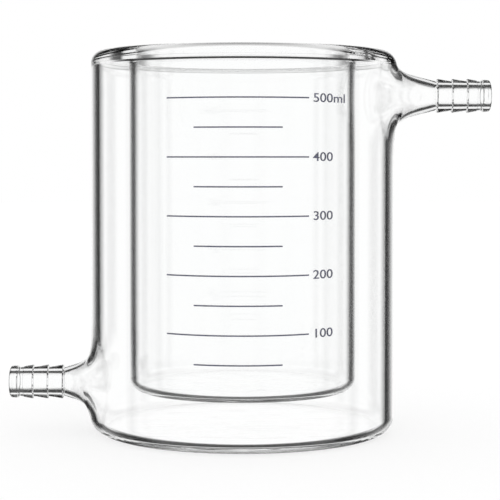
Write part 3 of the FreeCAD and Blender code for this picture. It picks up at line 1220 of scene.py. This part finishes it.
@dataclass
class Studio:
    """A pale floor, a round tent of light about the beaker, and the camera.

    The tent's light is a photographer's bright field: a white panel behind the glass whose edges
    fall off to dark, and a plain white front. It stands still in the room, behind the beaker as
    the photo sees it, whatever side the camera looks from.

    Attributes:
        lens: Focal length in millimetres.
        distance: From the camera to the beaker's axis.
        height: The camera's height.
        pitch: How far it looks down.
        shift: The frame's shift.
        tent: The tent's radius.
        centre: From the camera to the tent's middle.
        level: What plain, dull surfaces get from the tent.
        tilt: How far below the tent's own axis the panel is centred.
        squat: The panel's width over its height.
        panel: The panel's strength at angles in degrees from its centre.
        sides: The white sides' strength at angles in degrees to the right or left of it.
        band: How much of the sides is left at angles in degrees above or below it.
        front: The white front's strength at angles in degrees to the right or left of it.
        paleness: How light the floor's own colour is.
        floor_white: The floor's strength of white in the picture.
        floor_share: How much of that white the camera gets; the rest is the lit floor.
        clearance: How far the floor lies under the beaker's foot.
    """

    lens: float = 119.5
    distance: float = 0.611
    height: float = 0.1013
    pitch: float = math.radians(1.6)
    shift: tuple[float, float] = (0.015, -0.0956)
    tent: float = 4.0
    centre: float = 0.72
    level: float = 0.95
    tilt: float = math.radians(0.4)
    squat: float = 0.7
    panel: tuple[tuple[float, float], ...] = (
        (0.0, 1.0), (18.0, 1.0), (21.0, 0.76), (24.0, 0.42), (27.0, 0.2), (30.0, 0.09),
        (33.0, 0.03), (180.0, 0.03))
    sides: tuple[tuple[float, float], ...] = ((0.0, 0.0), (43.0, 0.0), (46.0, 0.35), (49.0, 0.85),
                                              (53.0, 1.0), (84.0, 1.0), (86.5, 0.05), (180.0, 0.05))
    band: tuple[tuple[float, float], ...] = ((0.0, 1.0), (20.0, 1.0), (32.0, 0.0), (90.0, 0.0))
    front: tuple[tuple[float, float], ...] = ((0.0, 0.0), (92.5, 0.0), (95.0, 1.0), (180.0, 1.0))
    paleness: float = 0.93
    floor_white: float = 1.06
    floor_share: float = 0.75
    clearance: float = 0.1 * MM

    def camera(self) -> bpy.types.Object:
        """Set the camera in front, almost level, so that upright walls stay upright.

        Returns:
            The camera.
        """
        data = bpy.data.cameras.new("camera")
        data.lens = self.lens
        data.sensor_width = 36.0
        data.shift_x, data.shift_y = self.shift
        data.clip_start = 0.01
        camera = hang(bpy.data.objects.new("camera", data))
        camera.location = (0.0, -self.distance, self.height)
        camera.rotation_euler = (math.radians(90.0) - self.pitch, 0.0, 0.0)
        bpy.context.scene.camera = camera
        return camera

    @staticmethod
    def strength(shader: Shader, stops: Sequence[tuple[float, float]], turn: Wire) -> Wire:
        """A strength that depends on an angle.

        Args:
            shader: The material under construction.
            stops: The strength at angles in degrees.
            turn: The angle, in half turns.

        Returns:
            The strength.
        """
        places = [(angle / 180.0, value) for angle, value in stops]
        return shader.wire(shader.node("ShaderNodeValToRGB", {"stops": places}, {"Fac": turn}))

    def tent_material(self) -> bpy.types.Material:
        """White to the camera, plain to dull surfaces, and the bright field to glass.

        Returns:
            The material.
        """
        shader = Shader("light_tent")
        split = shader.node("ShaderNodeSeparateXYZ", inputs={"Vector": shader.place()})
        right, up, back = (shader.wire(split, axis) for axis in range(3))
        forward = back * -1.0
        level = (forward * forward + right * right).math("SQRT")
        aside = abs(right.atan2(forward)) / math.pi
        above = abs(up.atan2(level) + self.tilt) / math.pi
        off = (aside * aside + above * above * self.squat ** 2).math("SQRT")
        panel = self.strength(shader, self.panel, off)
        sides = self.strength(shader, self.sides, aside) * self.strength(shader, self.band, above)
        front = self.strength(shader, self.front, aside)
        field_level = panel.math("MAXIMUM", sides).math("MAXIMUM", front)
        path = shader.node("ShaderNodeLightPath")
        seen = shader.wire(path, "Is Camera Ray")
        dull = shader.wire(path, "Is Diffuse Ray")
        strength = seen + (1.0 - seen) * (dull * self.level + (1.0 - dull) * field_level)
        glow = shader.node("ShaderNodeEmission", inputs={"Strength": strength})
        shader.material.cycles.emission_sampling = "NONE"
        return shader.finish(glow.outputs[0])

    def build_tent(self) -> bpy.types.Object:
        """Stand the tent round the beaker: a sphere, turned from a half circle.

        Returns:
            The tent.
        """
        steps = np.linspace(-math.pi / 2, math.pi / 2, 65)[1:-1]
        profile = self.tent * np.stack([np.cos(steps), np.sin(steps)], axis=-1)
        skin = Skin()
        numbers = skin.add_points(turned(profile, around(96)))
        skin.add_grid(numbers)
        skin.add_pole(numbers[0], (0.0, 0.0, -self.tent), False)
        skin.add_pole(numbers[-1], (0.0, 0.0, self.tent), True)
        tent = skin.build("light_tent", [self.tent_material()])
        tent.rotation_euler = (math.radians(90.0) - self.pitch, 0.0, 0.0)
        tent.location = (0.0, self.centre * math.cos(self.pitch) - self.distance,
                         self.height - self.centre * math.sin(self.pitch))
        return tent

    def floor_material(self) -> bpy.types.Material:
        """Pale and dull, and near white to the camera, with the beaker's soft shadow kept.

        Returns:
            The material.
        """
        shader = Shader("pale_floor")
        dull = shader.node("ShaderNodeBsdfDiffuse", inputs={"Color": (*[self.paleness] * 3, 1.0)})
        glow = shader.node("ShaderNodeEmission", inputs={"Strength": self.floor_white})
        path = shader.node("ShaderNodeLightPath")
        seen = shader.wire(path, "Is Camera Ray")
        blend = shader.node("ShaderNodeMixShader", inputs={
            0: seen * self.floor_share, 1: dull.outputs[0], 2: glow.outputs[0]})
        return shader.finish(blend.outputs[0])

    def build_floor(self) -> bpy.types.Object:
        """Lay the floor, a round table top, a hair under the beaker's foot.

        Returns:
            The floor.
        """
        rings = np.array([[radius, -self.clearance] for radius in (3.0, 1.2, 0.4, 0.1, 0.02)])
        skin = Skin()
        numbers = skin.add_points(turned(rings, around(96)))
        skin.add_grid(numbers)
        skin.add_pole(numbers[-1], (0.0, 0.0, -self.clearance), True)
        floor = skin.build("pale_floor", [self.floor_material()])
        floor.visible_transmission = False
        floor.visible_glossy = False
        return floor

    def world(self) -> None:
        """Light whatever lies outside the tent plainly white."""
        world = bpy.data.worlds.new("white_room")
        world.use_nodes = True
        world.node_tree.nodes["Background"].inputs["Color"].default_value = (1.0, 1.0, 1.0, 1.0)
        world.node_tree.nodes["Background"].inputs["Strength"].default_value = self.level
        bpy.context.scene.world = world

    def build(self) -> None:
        """Set up the camera, the light and the floor."""
        self.camera()
        self.build_tent()
        self.build_floor()
        self.world()
        scene = bpy.context.scene
        scene.view_settings.view_transform = "Standard"
        scene.cycles.max_bounces = 40
        scene.cycles.transmission_bounces = 40
        scene.cycles.glossy_bounces = 24
        scene.cycles.diffuse_bounces = 4
        scene.cycles.transparent_max_bounces = 40
        log.info("studio: camera at %.3f m", self.distance)


WELD = WeldFace().material()


def dress_lines(enamel: FiredEnamel) -> None:
    """Give the CAD's printed lines their enamel.

    Args:
        enamel: The finish.
    """
    material = enamel.material()
    for name in ("scale_lines_100ml", "scale_lines_50ml"):
        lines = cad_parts[name]
        lines.data.materials.clear()
        lines.data.materials.append(material)
        log.info("%s: enamelled", name)


def main() -> None:
    """Build the beaker and its studio, and report each piece."""
    logging.basicConfig(level=logging.INFO, format="%(name)s: %(message)s")
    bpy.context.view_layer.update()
    outlet_low, outlet_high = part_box("outlet_hose_barb")
    inlet_low, inlet_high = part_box("inlet_hose_barb")
    outlet_height = float(outlet_low.z + outlet_high.z) / 2
    inlet_height = float(inlet_low.z + inlet_high.z) / 2
    outlet = Neck(0.0, outlet_height, float(outlet_low.x))
    inlet = Neck(math.pi, inlet_height, float(-inlet_high.x))
    wall_glass = ClearGlass("jacket_glass", 0.004 * MM, 40.0, (1.0, 1.0, 0.25))
    vessel_glass = ClearGlass("vessel_glass", 0.004 * MM, 45.0, (1.0, 1.0, 0.25))
    rim_glass = ClearGlass("rim_glass", 0.006 * MM, 60.0)
    barb_glass = ClearGlass("barb_glass", 0.004 * MM, 150.0)
    jacket = Jacket([outlet, inlet], wall_glass)
    jacket.build()
    RimSeal(jacket, rim_glass).build()
    Vessel(vessel_glass).build()
    HoseBarb("outlet_hose_barb", outlet, barb_glass).build()
    HoseBarb("inlet_hose_barb", inlet, barb_glass).build()
    enamel = FiredEnamel("blue_enamel", (0.030, 0.034, 0.105, 1.0), (0.045, 0.05, 0.14, 1.0))
    dress_lines(enamel)
    Numerals(enamel).build()
    Studio().build()


if __name__ == "__main__":
    main()
